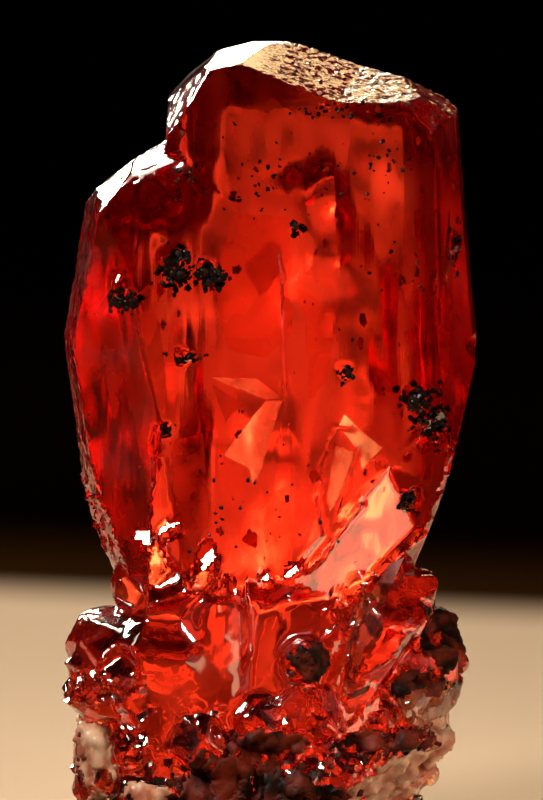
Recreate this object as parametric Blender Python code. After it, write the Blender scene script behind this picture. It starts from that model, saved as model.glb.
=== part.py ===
"""A proustite specimen: one stout see-through crystal with a stepped top, grown from a lumpy
cluster of smaller crystals that is cut off flat underneath.

The crystals grew together, so they are joined in one solid. Sizes are in millimetres and are
brought to metres at the end. +Z runs up the length of the large crystal, its broad front looks
along -Y, and the origin is the middle of the flat underside.

A face's way is given by two angles: its azimuth, from 0 at the front through 90 at the right
side to 180 at the back, and its rise above the horizontal, in degrees.
"""

import math
import random

import bmesh
import bpy
from mathutils import Euler, Matrix, Vector

MM = 0.001

# Driving sizes of the whole specimen, in mm
HEIGHT = 30.0
HALF_WIDTH = 7.5
FRONT = 4.45
BACK = 4.7
WIDEST_LEFT = 19.6
WIDEST_RIGHT = 17.8
NECK = 10.4

# The step in the top: the left part ends lower, at a wall that stands left of the middle
STEP_WALL = -3.68
SHOULDER_LEFT_END = 24.0

# The cluster under the neck
CLUSTER_HALF_WIDTH = 7.3
CLUSTER_HALF_DEPTH = 5.0
FOOT_HALF_WIDTH = 5.7

# A block that every crystal is cut from, far larger than any of them
ROUGH_BLOCK = 80.0
SAME_PLACE = 0.001
NEARLY_FLAT = math.radians(0.4)

# Deep red of proustite by transmitted light
CRYSTAL_RED = (0.42, 0.012, 0.006, 1.0)
CRYSTAL_ROUGHNESS = 0.12


def clear_scene():
    for found in list(bpy.data.objects):
        bpy.data.objects.remove(found, do_unlink=True)


def facing(azimuth, rise):
    """The direction that a face looks in."""
    turn = math.radians(azimuth)
    lift = math.radians(rise)
    return Vector((math.sin(turn) * math.cos(lift), -math.cos(turn) * math.cos(lift), math.sin(lift)))


def box_mesh(half):
    shape = bmesh.new()
    bmesh.ops.create_cube(shape, size=2.0 * half)
    return shape


def cut_face(shape, place, outward):
    """Cuts away what lies beyond a plane and closes the cut with one face."""
    everything = shape.verts[:] + shape.edges[:] + shape.faces[:]
    cut = bmesh.ops.bisect_plane(
        shape, geom=everything, dist=1e-6, plane_co=place, plane_no=outward, clear_outer=True
    )
    rim = [found for found in cut["geom_cut"] if isinstance(found, bmesh.types.BMEdge)]
    if rim:
        bmesh.ops.edgeloop_fill(shape, edges=rim)


def as_object(shape, name):
    bmesh.ops.remove_doubles(shape, verts=shape.verts[:], dist=SAME_PLACE)
    bmesh.ops.dissolve_degenerate(shape, edges=shape.edges[:], dist=SAME_PLACE)
    bmesh.ops.recalc_face_normals(shape, faces=shape.faces[:])
    mesh = bpy.data.meshes.new(name)
    shape.to_mesh(mesh)
    shape.free()
    made = bpy.data.objects.new(name, mesh)
    bpy.context.scene.collection.objects.link(made)
    return made


def crystal_of_faces(name, faces):
    """A crystal bounded by flat faces, each given as (azimuth, rise, a place it passes through)."""
    shape = box_mesh(ROUGH_BLOCK)
    for azimuth, rise, place in faces:
        cut_face(shape, Vector(place), facing(azimuth, rise))
    return as_object(shape, name)


def beyond_faces(name, faces):
    """A cutter that holds everything outside all of the given faces."""
    shape = box_mesh(ROUGH_BLOCK)
    for azimuth, rise, place in faces:
        cut_face(shape, Vector(place), -facing(azimuth, rise))
    return as_object(shape, name)


def combine(target, other, operation):
    """Joins the other solid to the target or cuts it away, and removes the other."""
    step = target.modifiers.new(operation, "BOOLEAN")
    step.operation = operation
    step.solver = "EXACT"
    step.object = other
    bpy.context.view_layer.update()
    seen = target.evaluated_get(bpy.context.evaluated_depsgraph_get())
    result = bpy.data.meshes.new_from_object(seen)
    target.modifiers.remove(step)
    old = target.data
    target.data = result
    bpy.data.meshes.remove(old)
    bpy.data.objects.remove(other, do_unlink=True)


def small_crystal(name, middle, azimuth, rise, width, length, flatness=1.0, turn=0.0, seed=0):
    """A six-sided crystal with three low faces at each end, its length pointing along a way."""
    draw = random.Random(seed)
    shape = box_mesh(ROUGH_BLOCK)
    for side in range(6):
        way = facing(60.0 * side + draw.uniform(-4, 4), draw.uniform(-3, 3))
        reach = 0.5 * width * draw.uniform(0.9, 1.06)
        reach *= 1.0 if side % 3 else flatness
        cut_face(shape, way * reach, way)
    for end in (1, -1):
        for side in range(3):
            way = facing(120.0 * side + 30.0 + draw.uniform(-9, 9), draw.uniform(52, 68))
            way.z *= end
            reach = 0.5 * length * draw.uniform(0.78, 0.94)
            cut_face(shape, way * reach, way)
    lengthwise = facing(azimuth, rise).to_track_quat("Z", "Y").to_matrix().to_4x4()
    spin = Matrix.Rotation(math.radians(turn), 4, "Z")
    shape.transform(Matrix.Translation(Vector(middle)) @ lengthwise @ spin)
    return as_object(shape, name)


def lump(name, middle, radii, facets, seed, turn=(0.0, 0.0, 0.0)):
    """A rough rounded lump, bounded by flat breaks that stand about on an ellipsoid."""
    draw = random.Random(seed)
    shape = box_mesh(ROUGH_BLOCK)
    golden = math.pi * (3.0 - math.sqrt(5.0))
    for step in range(facets):
        level = 1.0 - 2.0 * (step + 0.5) / facets
        ring = math.sqrt(1.0 - level * level)
        around = golden * step
        way = Vector((ring * math.cos(around), ring * math.sin(around), level))
        way += Vector((draw.uniform(-0.3, 0.3), draw.uniform(-0.3, 0.3), draw.uniform(-0.3, 0.3)))
        way.normalize()
        cut_face(shape, way * draw.uniform(0.86, 1.0), way)
    stretch = Matrix.Diagonal((radii[0], radii[1], radii[2], 1.0))
    lean = Euler([math.radians(angle) for angle in turn]).to_matrix().to_4x4()
    shape.transform(Matrix.Translation(Vector(middle)) @ lean @ stretch)
    return as_object(shape, name)


def chip(name, corner, azimuth, rise, roll, width, height, depth):
    """A cutter that leaves one flat broken face looking along its azimuth and rise."""
    shape = box_mesh(0.5)
    shape.transform(Matrix.Diagonal((width, height, depth, 1.0)))
    shape.transform(Matrix.Translation((0.0, 0.0, 0.5 * depth)))
    outward = facing(azimuth, rise).to_track_quat("Z", "Y").to_matrix().to_4x4()
    spin = Matrix.Rotation(math.radians(roll), 4, "Z")
    shape.transform(Matrix.Translation(Vector(corner)) @ outward @ spin)
    return as_object(shape, name)


def right_crystal():
    """The taller, right part of the large crystal, with the curved crown and the broken corner."""
    right = HALF_WIDTH
    made = crystal_of_faces("right_crystal", [
        # Broad front and the two narrow faces beside it
        (1.5, 1, (3.0, -FRONT + 0.2, 19.0)),
        (60, 2.2, (6.19, -FRONT + 0.3, 20.4)),
        (8, -36, (0.0, -FRONT + 0.1, 10.5)),
        # Right side, leaning out up to its widest and in again to the neck
        (86, 4.9, (right, -1.5, 20.0)),
        (92, -15, (right, -1.5, WIDEST_RIGHT)),
        (88, -21, (6.5, -1.5, 13.6)),
        (50, -40, (4.89, -3.07, 11.32)),
        (122, 3, (right - 0.9, 2.7, 19.0)),
        # Back
        (176, 2, (2.0, BACK, 19.0)),
        (190, -7, (0.0, BACK - 0.1, 15.0)),
        (-128, 4, (-3.0, 4.3, 19.0)),
        # The wall of the step at the left and its narrow front edge
        (-90, 2.5, (STEP_WALL, 0.0, 26.4)),
        (-48, 4, (STEP_WALL + 0.05, -3.75, 27.0)),
        # Crown, from the left edge over the top to the right edge
        (-90, 46, (-2.45, 0.0, 29.05)),
        (-78, 30, (-3.4, -1.5, 27.9)),
        (-60, 76.4, (-1.04, -FRONT + 0.15, 29.34)),
        (-128, 72, (-0.3, 0.0, HEIGHT)),
        (100, 87, (0.4, 0.0, HEIGHT - 0.08)),
        (112, 69.8, (2.96, 0.0, 29.26)),
        (84, 55, (6.4, -1.0, 27.7)),
        (46, 34, (5.7, -4.1, 27.1)),
        (170, 55, (2.5, 3.2, 28.3)),
        (0, -90, (0.0, 0.0, 6.0)),
    ])
    # The crown's front slope is hollow: two faces meet in a shallow valley
    combine(made, beyond_faces("crown_hollow", [
        (50.5, 62.6, (-1.04, -FRONT + 0.15, 29.34)),
        (4.6, 75.9, (4.5, -FRONT + 0.15, 27.89)),
    ]), "DIFFERENCE")
    # The lower right corner broke off: a steep band, then a wide flat break
    combine(made, beyond_faces("corner_break", [
        (29.1, -22.2, (1.0, -FRONT, 11.2)),
        (18.1, -14.6, (1.38, -FRONT + 0.36, 10.88)),
    ]), "DIFFERENCE")
    return made


def left_crystal():
    """The shorter, left part, whose sloping shoulder is the lower step of the top."""
    return crystal_of_faces("left_crystal", [
        # Broad front, which turns away a little towards the left
        (-1, 0.5, (-2.0, -FRONT - 0.05, 19.0)),
        (-13, 2, (-4.9, -FRONT, 21.0)),
        (-28, -4.6, (-4.05, -FRONT, 16.7)),
        (-12, -34, (-2.0, -FRONT, 10.3)),
        # Left side, leaning out up to its widest and in again to the neck
        (-83, 10.5, (-HALF_WIDTH + 0.2, -0.6, WIDEST_LEFT)),
        (-83, -8.5, (-6.97, -0.8, 16.4)),
        (-81, -20, (-6.2, -0.9, 12.9)),
        (-34, -30, (-4.9, -3.1, 11.2)),
        (-118, 3, (-HALF_WIDTH + 0.55, 1.6, 19.0)),
        # Back
        (-165, 4, (-5.0, 4.1, 19.0)),
        (184, -5, (-2.0, 4.4, 15.0)),
        # The sloping shoulder and the small faces round it
        (-30, 60, (-3.1, -FRONT, 25.85)),
        (-104, 57.7, (STEP_WALL, -2.76, 26.45)),
        (-150, 48, (-4.4, 1.2, 25.6)),
        (-74, 34, (-6.9, -1.0, SHOULDER_LEFT_END)),
        # The ledge where it ends on the front of its taller neighbour
        (52, 40, (-3.0, -FRONT, 25.8)),
        (78, 3, (0.55, -FRONT, 20.0)),
        (70, -12, (0.42, -FRONT, 15.8)),
        (0, -90, (0.0, 0.0, 6.5)),
    ])


def back_crystal():
    """A lower crystal grown side by side with the large one, at its back."""
    return crystal_of_faces("back_crystal", [
        (180, 3, (1.0, BACK + 0.55, 17.0)),
        (128, 3, (4.9, 3.9, 17.0)),
        (-124, 2, (-3.1, 4.0, 17.0)),
        (168, 58, (1.2, 4.2, 24.4)),
        (120, 44, (3.8, 3.0, 23.4)),
        (-140, 50, (-1.6, 3.6, 23.6)),
        (180, -9, (1.0, BACK + 0.45, 13.0)),
        (0, 0, (0.0, 1.0, 15.0)),
        (90, 0, (4.9, 0.0, 15.0)),
        (-90, 0, (-3.1, 0.0, 15.0)),
        (0, -90, (0.0, 0.0, 7.0)),
    ])


def root_block():
    """The stout middle of the cluster, from the flat cut up into the neck."""
    wide = CLUSTER_HALF_WIDTH
    deep = CLUSTER_HALF_DEPTH
    return crystal_of_faces("root_block", [
        (-8, 6, (0.0, -deep + 1.0, 5.0)),
        (16, -6, (1.5, -deep + 1.0, 3.4)),
        (-50, 10, (-wide + 2.2, -2.9, 6.0)),
        (-88, 24, (-wide + 1.3, 0.0, 7.4)),
        (-95, -10, (-wide + 1.2, 0.0, 5.0)),
        (-140, 6, (-4.6, 3.4, 5.0)),
        (178, 5, (0.0, deep - 0.6, 5.0)),
        (172, -10, (0.0, deep - 0.6, 3.6)),
        (130, 3, (4.6, 3.4, 5.0)),
        (88, 22, (wide - 1.4, 0.0, 6.8)),
        (60, -22, (wide - 1.5, -1.5, 5.4)),
        (96, -16, (wide - 1.2, 0.0, 5.0)),
        (48, 18, (4.0, -3.6, 6.2)),
        (-10, 48, (0.0, -3.6, 9.3)),
        (180, 60, (0.0, 4.0, 10.0)),
        (0, 90, (0.0, 0.0, NECK + 1.0)),
        (0, -90, (0.0, 0.0, 0.0)),
    ])


def cluster_crystals():
    """The stout crystals that lean out of the cluster and give it its bulk."""
    return [
        # Front, from left to right
        small_crystal("left_stout", (-3.7, -1.6, 5.2), -62, 58, 4.6, 8.2, 0.9, 10, 21),
        small_crystal("front_left", (-3.3, -2.6, 5.6), -28, 66, 3.3, 7.8, 0.9, 24, 22),
        small_crystal("front_round", (-1.75, -2.9, 6.4), -4, 80, 2.5, 7.6, 1.0, 12, 23),
        small_crystal("front_leaning", (0.2, -2.9, 4.6), 68, 48, 2.4, 6.4, 0.8, 30, 24),
        small_crystal("front_low", (-1.2, -3.2, 3.4), -60, 38, 2.2, 5.6, 0.85, 8, 25),
        small_crystal("right_long", (3.1, -2.5, 6.6), 58, 58, 2.9, 9.4, 0.8, 20, 28),
        small_crystal("right_narrow", (4.35, -2.1, 7.7), 48, 60, 1.7, 7.0, 0.9, 44, 27),
        small_crystal("right_stout", (4.2, -0.2, 6.5), 84, 44, 3.9, 7.2, 0.9, 6, 29),
        small_crystal("right_low", (3.8, -1.7, 3.4), 62, -24, 4.4, 6.6, 0.9, 12, 31),
        small_crystal("left_low", (-4.9, -1.2, 3.2), -70, -12, 3.0, 4.4, 0.9, 34, 33),
        # Back, from left to right
        small_crystal("back_right", (3.0, 2.6, 5.8), 142, 50, 4.0, 7.8, 0.9, 20, 34),
        small_crystal("back_middle", (-0.4, 3.1, 6.2), 186, 62, 3.6, 8.0, 0.85, 30, 35),
        small_crystal("back_left", (-3.7, 2.4, 5.2), -136, 46, 4.0, 7.0, 0.9, 8, 36),
        small_crystal("back_low", (1.0, 3.2, 2.4), 172, 16, 3.2, 4.4, 0.9, 0, 37),
        small_crystal("left_side", (-4.9, 1.3, 4.4), -100, 30, 3.2, 5.2, 0.9, 14, 38),
        small_crystal("right_side", (4.5, 1.8, 4.6), 108, 24, 3.4, 5.0, 0.9, 22, 39),
    ]


def cluster_lumps():
    """The rounded and blocky lumps on the cluster."""
    return [
        lump("left_knob", (-5.05, -1.6, 10.05), (0.75, 0.85, 0.95), 26, 3),
        lump("left_lump", (-5.55, -1.3, 7.75), (1.85, 2.4, 1.45), 34, 5, (0, -18, 10)),
        lump("left_shiny_lump", (-5.85, -1.9, 5.95), (1.7, 2.0, 0.95), 30, 8, (0, 8, 0)),
        lump("left_low_lump", (-5.0, -3.0, 4.05), (0.8, 0.85, 0.75), 24, 9),
        lump("left_foot", (-6.1, -1.6, 3.5), (0.95, 2.2, 1.85), 24, 12, (0, 8, -12)),
        lump("left_oval", (-4.5, -3.3, 2.35), (1.05, 0.85, 0.7), 30, 14, (0, 22, 0)),
        lump("dark_block", (1.33, -4.2, 7.6), (0.85, 0.8, 0.85), 11, 15, (0, 15, 20)),
        lump("under_block", (1.9, -3.9, 5.6), (0.75, 0.8, 1.15), 12, 16, (10, -20, 0)),
        lump("right_edge_lump", (6.15, -0.9, 7.45), (0.95, 1.3, 0.9), 20, 17, (0, 30, 0)),
        lump("right_neck_lump", (5.2, -1.0, 9.6), (0.85, 1.4, 1.1), 18, 18, (0, 30, 0)),
        lump("middle_lump", (-0.3, -4.1, 5.2), (0.9, 0.7, 0.8), 14, 19, (0, 40, 0)),
    ]


def fan_of_blades():
    """Flat blades that spread from one point at the right of the cluster."""
    tip = Vector((6.85, -1.9, 7.0))
    blades = []
    for step in range(6):
        rise = 6 - 13 * step
        azimuth = -58 + 5 * step
        along = facing(azimuth, rise)
        middle = tip + along * 1.35
        name = f"blade_{step}"
        blades.append(small_crystal(name, middle, azimuth, rise, 1.15, 3.3, 0.42, 50 + 9 * step, 60 + step))
    return blades


def rough_band():
    """The rough crust of broken grains round the foot of the cluster."""
    draw = random.Random(11)
    grains = []
    round_the_foot = 17
    for level, count in ((1.1, round_the_foot), (2.9, round_the_foot - 2)):
        for step in range(count):
            turn = 2.0 * math.pi * (step + draw.uniform(-0.2, 0.2) + 0.5 * level) / count
            middle = (
                math.sin(turn) * (FOOT_HALF_WIDTH - 0.65 + 0.12 * level),
                -math.cos(turn) * (CLUSTER_HALF_DEPTH - 1.2),
                level + draw.uniform(-0.35, 0.35),
            )
            size = draw.uniform(0.95, 1.35)
            radii = (size, size * 0.75, size * draw.uniform(0.8, 1.1))
            lean = (draw.uniform(-30, 30), draw.uniform(-30, 30), -math.degrees(turn))
            grains.append(lump(f"grain_{count}_{step}", middle, radii, 11, draw.randrange(999), lean))
    return grains


def face_grains():
    """The larger dark grains that stand a little proud of the front of the large crystal."""
    sunk = 0.1
    places = [
        (-3.45, -4.45, 22.35, 0.5),
        (-2.2, -4.47, 22.05, 0.38),
        (-5.3, -4.33, 21.3, 0.36),
        (0.95, -4.24, 23.6, 0.34),
        (-3.0, -4.5, 18.75, 0.34),
        (-3.7, -4.5, 16.1, 0.26),
        (2.8, -4.26, 18.2, 0.3),
        (5.4, -4.2, 17.2, 0.48),
        (5.95, -3.98, 16.1, 0.5),
        (5.05, -3.61, 13.5, 0.45),
        (6.75, -3.0, 22.8, 0.36),
    ]
    grains = []
    for step, (across, depth, height, size) in enumerate(places):
        radii = (size, 0.2, 0.85 * size)
        grains.append(lump(f"face_grain_{step}", (across, depth + sunk, height), radii, 12, 200 + step))
    return grains


def broken_faces():
    """Cutters for the small flat breaks on the front of the large crystal and on the cluster."""
    front = -FRONT
    return [
        # The narrow flat break and the thin wedge under it, left of the broken corner
        chip("strip_break", (3.3, front + 0.34, 15.85), 18, -14.6, -40, 1.9, 0.62, 1.2),
        chip("wedge_break", (2.2, front + 0.32, 13.75), 24, 5, -16, 0.9, 4.8, 1.0),
        # Small breaks at the lower left of the large crystal
        chip("left_break", (-4.35, front + 0.85, 11.1), 18, -14.6, 30, 1.5, 1.9, 1.6),
        chip("left_break_high", (-3.65, front + 0.3, 12.4), 18, -14.6, 26, 1.1, 0.5, 1.2),
        chip("middle_break", (-2.3, front + 0.28, 10.9), 18, -14.6, 80, 1.7, 0.75, 1.2),
        chip("slot_break", (-1.3, front + 0.25, 10.1), 18, -14.6, -58, 1.5, 0.4, 1.2),
        chip("nick_middle", (-0.1, front + 0.25, 10.55), 18, -14.6, 45, 0.5, 0.5, 1.0),
        chip("nick_right", (0.78, front + 0.25, 10.65), 18, -14.6, 40, 0.85, 0.6, 1.0),
        # The nick in the right edge
        chip("edge_nick", (7.4, -1.6, 18.85), 84, 30, 0, 3.4, 0.5, 1.0),
    ]


def cluster_breaks():
    """Cutters for the wide flat breaks on the cluster."""
    foot = 1.3
    return [
        beyond_faces("pale_break", [
            (55, -38, (4.3, -4.0, 4.2)),
            (0, 90, (0.0, 0.0, foot)),
        ]),
        chip("tan_break", (-6.2, -3.3, 3.5), -38, -8, 8, 1.9, 3.0, 2.0),
    ]


def break_ridges():
    """Low ridges that run along the pale break at the lower right of the cluster."""
    ridges = []
    for step in range(4):
        middle = (4.45 + 0.36 * step, -2.95 + 0.55 * step, 3.75 - 0.12 * step)
        ridges.append(small_crystal(f"ridge_{step}", middle, 62, 42, 0.8, 3.4, 0.6, 40 * step, 90 + step))
    return ridges


def underside_cutter():
    """Everything below the flat where the specimen was broken from its rock."""
    shape = box_mesh(ROUGH_BLOCK)
    shape.transform(Matrix.Translation((0.0, 0.0, -ROUGH_BLOCK)))
    return as_object(shape, "underside_cutter")


def tidy_mesh(target):
    """Joins faces that lie in one plane and drops slivers."""
    shape = bmesh.new()
    shape.from_mesh(target.data)
    bmesh.ops.remove_doubles(shape, verts=shape.verts[:], dist=SAME_PLACE)
    bmesh.ops.dissolve_degenerate(shape, edges=shape.edges[:], dist=SAME_PLACE)
    bmesh.ops.dissolve_limit(
        shape, angle_limit=NEARLY_FLAT, verts=shape.verts[:], edges=shape.edges[:]
    )
    bmesh.ops.triangulate(shape, faces=shape.faces[:])
    bmesh.ops.dissolve_degenerate(shape, edges=shape.edges[:], dist=SAME_PLACE)
    bmesh.ops.recalc_face_normals(shape, faces=shape.faces[:])
    shape.transform(Matrix.Scale(MM, 4))
    shape.to_mesh(target.data)
    shape.free()


def stand_on_origin(target):
    """Brings the middle of the specimen's box, seen from above, over the origin."""
    places = [corner.co for corner in target.data.vertices]
    middle = [0.5 * (min(p[axis] for p in places) + max(p[axis] for p in places)) for axis in (0, 1)]
    target.data.transform(Matrix.Translation((-middle[0], -middle[1], 0.0)))


def crystal_material():
    material = bpy.data.materials.new("proustite")
    material.use_nodes = True
    surface = material.node_tree.nodes["Principled BSDF"]
    surface.inputs["Base Color"].default_value = CRYSTAL_RED
    surface.inputs["Roughness"].default_value = CRYSTAL_ROUGHNESS
    surface.inputs["Metallic"].default_value = 0.0
    surface.inputs["Transmission Weight"].default_value = 1.0
    surface.inputs["IOR"].default_value = 2.8
    material.diffuse_color = CRYSTAL_RED
    return material


def build():
    clear_scene()
    specimen = right_crystal()
    specimen.name = "proustite_crystals"
    for grown in [left_crystal(), back_crystal()]:
        combine(specimen, grown, "UNION")
    for cutter in broken_faces():
        combine(specimen, cutter, "DIFFERENCE")
    for grown in [root_block()] + cluster_crystals() + cluster_lumps() + fan_of_blades():
        combine(specimen, grown, "UNION")
    for grown in rough_band() + face_grains():
        combine(specimen, grown, "UNION")
    for cutter in cluster_breaks():
        combine(specimen, cutter, "DIFFERENCE")
    for grown in break_ridges():
        combine(specimen, grown, "UNION")
    combine(specimen, underside_cutter(), "DIFFERENCE")
    tidy_mesh(specimen)
    stand_on_origin(specimen)
    specimen.data.materials.clear()
    specimen.data.materials.append(crystal_material())


build()
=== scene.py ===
"""Dresses the proustite specimen: clear ruby-red crystal with growth lines, a frosted crown and
inner cracks, dark metallic grains, a rough dark crust and pale tan skins, on a pale studio floor.

Laid out as an add-on: each piece has its operator, and main() calls them in order.
All sizes are in metres, in the frame of the solid model: +Z up, the broad front towards -Y.
"""

import math
import random

import bmesh
import bpy
from bpy.props import FloatProperty, FloatVectorProperty, PointerProperty
from mathutils import Matrix, Vector, noise
from mathutils.bvhtree import BVHTree
from mathutils.kdtree import KDTree


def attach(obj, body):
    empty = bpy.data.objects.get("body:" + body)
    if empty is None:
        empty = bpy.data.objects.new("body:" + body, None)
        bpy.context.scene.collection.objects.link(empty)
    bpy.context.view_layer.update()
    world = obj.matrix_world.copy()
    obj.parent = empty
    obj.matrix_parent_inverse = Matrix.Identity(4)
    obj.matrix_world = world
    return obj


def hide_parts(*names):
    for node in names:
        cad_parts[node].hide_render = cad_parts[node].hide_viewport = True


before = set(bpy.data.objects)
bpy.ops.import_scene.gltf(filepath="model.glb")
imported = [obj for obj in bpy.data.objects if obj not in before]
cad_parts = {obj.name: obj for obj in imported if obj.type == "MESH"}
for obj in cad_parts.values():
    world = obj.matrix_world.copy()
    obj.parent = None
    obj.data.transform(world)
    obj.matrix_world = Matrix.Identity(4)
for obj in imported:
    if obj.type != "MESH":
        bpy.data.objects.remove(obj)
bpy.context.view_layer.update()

bl_info = {
    "name": "Proustite specimen",
    "version": (1, 0, 0),
    "blender": (4, 5, 0),
    "location": "3D View > Sidebar > Specimen",
    "description": "Builds the looks of a clear red proustite specimen round its solid model",
    "category": "Object",
}

MM = 0.001
NODE = "proustite_crystals"
BODY = "root"

# The photograph's frame, and how a place in it maps to the specimen's middle plane
PHOTO_WIDTH = 543
PHOTO_HEIGHT = 800
PIXELS_PER_MM = 27.0
MIDDLE_PIXEL = 270.0
UNDERSIDE_PIXEL = 850.0

# Heights above the floor: where the cluster leaves its flat foot, and where the large crystal begins
FOOT_TOP = 0.4 * MM
NECK_TOP = 10.2 * MM

CRYSTAL_IOR = 2.8
CRACK_GAP = 0.000012
VEIL_GAP = 0.00003
GRAIN_FLATNESS = 0.5
ABOUT_A_TURN = 6.28
FLOOR_RADIUS = 0.3
FLOOR_GAP = 0.00002

# Vector noise, which leans the facets, is shifted at random in each session unless it is seeded
FACET_SEED = 7

# Which sockets of a Mix node hold its colours
FIRST_COLOUR = 6
SECOND_COLOUR = 7
MIXED_COLOUR = 2


class CrystalSettings(bpy.types.PropertyGroup):
    """Sizes and colours of the clear crystal."""

    mesh_size: FloatProperty(
        name="Mesh size", description="Size of the faces of the crystal's mesh",
        default=0.000142, unit="LENGTH",
    )
    back_relief: FloatProperty(
        name="Back relief", description="Depth of the uneven growth on the back",
        default=0.00016, unit="LENGTH",
    )
    hillock_height: FloatProperty(
        name="Hillock height", description="Height of the etched bumps on the crown",
        default=0.000075, unit="LENGTH",
    )
    lump_relief: FloatProperty(
        name="Lump relief", description="Height of the rounded swells on the cluster",
        default=0.00006, unit="LENGTH",
    )
    absorption: FloatProperty(
        name="Absorption", description="Strength of the body colour, per metre",
        default=330.0, min=0.0,
    )
    body_colour: FloatVectorProperty(
        name="Body colour", description="Light that the crystal lets through",
        default=(0.94, 0.07, 0.0), size=3, subtype="COLOR", min=0.0, max=1.0,
    )
    surface_tint: FloatVectorProperty(
        name="Surface tint", description="Tint of the light that crosses the crystal's faces",
        default=(1.0, 0.55, 0.20), size=3, subtype="COLOR", min=0.0, max=1.0,
    )


class StageSettings(bpy.types.PropertyGroup):
    """Floor, lights and camera."""

    floor_colour: FloatVectorProperty(
        name="Floor colour", description="Pale floor",
        default=(0.52, 0.40, 0.285), size=3, subtype="COLOR", min=0.0, max=1.0,
    )
    # Where the painted shade ends: before this edge the floor is painted black
    painted_shade_edge: FloatProperty(
        name="Floor near edge", description="Where the pale part of the floor begins",
        default=-0.002, unit="LENGTH",
    )
    floor_far: FloatProperty(
        name="Floor far edge", description="Where the pale part of the floor starts to fade out",
        default=0.057, unit="LENGTH",
    )
    dome: FloatProperty(
        name="Dome", description="Strength of the soft light from low behind",
        default=0.9, min=0.0,
    )
    camera_rise: FloatProperty(
        name="Camera rise", description="Height of the camera above the horizon, as an angle",
        default=math.radians(6.0), subtype="ANGLE",
    )
    camera_distance: FloatProperty(
        name="Camera distance", description="From the camera to the specimen's middle",
        default=0.24, unit="LENGTH",
    )


def new_material(name):
    material = bpy.data.materials.new(name)
    material.use_nodes = True
    nodes = material.node_tree.nodes
    return material, nodes, material.node_tree.links, nodes["Principled BSDF"]


def noise_node(nodes, links, place, scale, detail=3.0, stretch=(1.0, 1.0, 1.0)):
    """Noise over object coordinates, drawn out along the axes with a small stretch value."""
    sized = nodes.new("ShaderNodeVectorMath")
    sized.operation = "MULTIPLY"
    sized.inputs[1].default_value = stretch
    links.new(place, sized.inputs[0])
    made = nodes.new("ShaderNodeTexNoise")
    made.inputs["Scale"].default_value = scale
    made.inputs["Detail"].default_value = detail
    links.new(sized.outputs["Vector"], made.inputs["Vector"])
    return made.outputs["Fac"]


def span_node(nodes, links, value, low, high, to_low, to_high):
    made = nodes.new("ShaderNodeMapRange")
    made.inputs["From Min"].default_value = low
    made.inputs["From Max"].default_value = high
    made.inputs["To Min"].default_value = to_low
    made.inputs["To Max"].default_value = to_high
    links.new(value, made.inputs["Value"])
    return made.outputs["Result"]


def math_node(nodes, links, operation, *values):
    made = nodes.new("ShaderNodeMath")
    made.operation = operation
    for slot, value in zip(made.inputs, values):
        if isinstance(value, (int, float)):
            slot.default_value = value
        else:
            links.new(value, slot)
    return made.outputs["Value"]


def blend_node(nodes, links, factor, first, second):
    made = nodes.new("ShaderNodeMix")
    made.data_type = "RGBA"
    links.new(factor, made.inputs["Factor"])
    made.inputs[FIRST_COLOUR].default_value = first
    made.inputs[SECOND_COLOUR].default_value = second
    return made.outputs[MIXED_COLOUR]


def bump_node(nodes, links, height, distance, strength, before=None):
    made = nodes.new("ShaderNodeBump")
    made.inputs["Distance"].default_value = distance
    if isinstance(strength, float):
        made.inputs["Strength"].default_value = strength
    else:
        links.new(strength, made.inputs["Strength"])
    links.new(height, made.inputs["Height"])
    if before is not None:
        links.new(before, made.inputs["Normal"])
    return made.outputs["Normal"]


def clear_crystal_material(settings):
    """Clear red crystal. The mesh says where it is etched and where its back is hazy."""
    material, nodes, links, surface = new_material("clear_crystal")
    place = nodes.new("ShaderNodeTexCoord").outputs["Object"]
    skin = nodes.new("ShaderNodeAttribute")
    skin.attribute_name = "skin"
    parts = nodes.new("ShaderNodeSeparateColor")
    links.new(skin.outputs["Color"], parts.inputs["Color"])
    etched, frosted_back, cluster = parts.outputs

    surface.inputs["Transmission Weight"].default_value = 1.0
    surface.inputs["IOR"].default_value = CRYSTAL_IOR
    surface.inputs["Base Color"].default_value = (*settings.surface_tint, 1.0)

    patches = noise_node(nodes, links, place, 500.0, 4.0)
    smooth = span_node(nodes, links, patches, 0.45, 0.75, 0.02, 0.14)
    rough = math_node(nodes, links, "MULTIPLY_ADD", etched, 0.12, smooth)
    hazy = math_node(nodes, links, "MULTIPLY_ADD", frosted_back, 0.42, rough)
    duller = math_node(nodes, links, "MULTIPLY_ADD", cluster, 0.04, hazy)
    links.new(duller, surface.inputs["Roughness"])

    lines = noise_node(nodes, links, place, 2600.0, 3.0, (1.0, 1.0, 0.05))
    ruled = bump_node(nodes, links, lines, 0.000012, 0.5)
    grain = noise_node(nodes, links, place, 5200.0, 2.0)
    frosted = bump_node(nodes, links, grain, 0.00003, etched, ruled)
    links.new(frosted, surface.inputs["Normal"])

    inside = nodes.new("ShaderNodeVolumeAbsorption")
    inside.inputs["Color"].default_value = (*settings.body_colour, 1.0)
    inside.inputs["Density"].default_value = settings.absorption
    links.new(inside.outputs["Volume"], nodes["Material Output"].inputs["Volume"])
    return material


def solid_tree():
    """Finds places on the solid model."""
    shape = bmesh.new()
    shape.from_mesh(bpy.data.objects[NODE].data)
    shape.transform(bpy.data.objects[NODE].matrix_world)
    found = BVHTree.FromBMesh(shape)
    shape.free()
    return found


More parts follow.
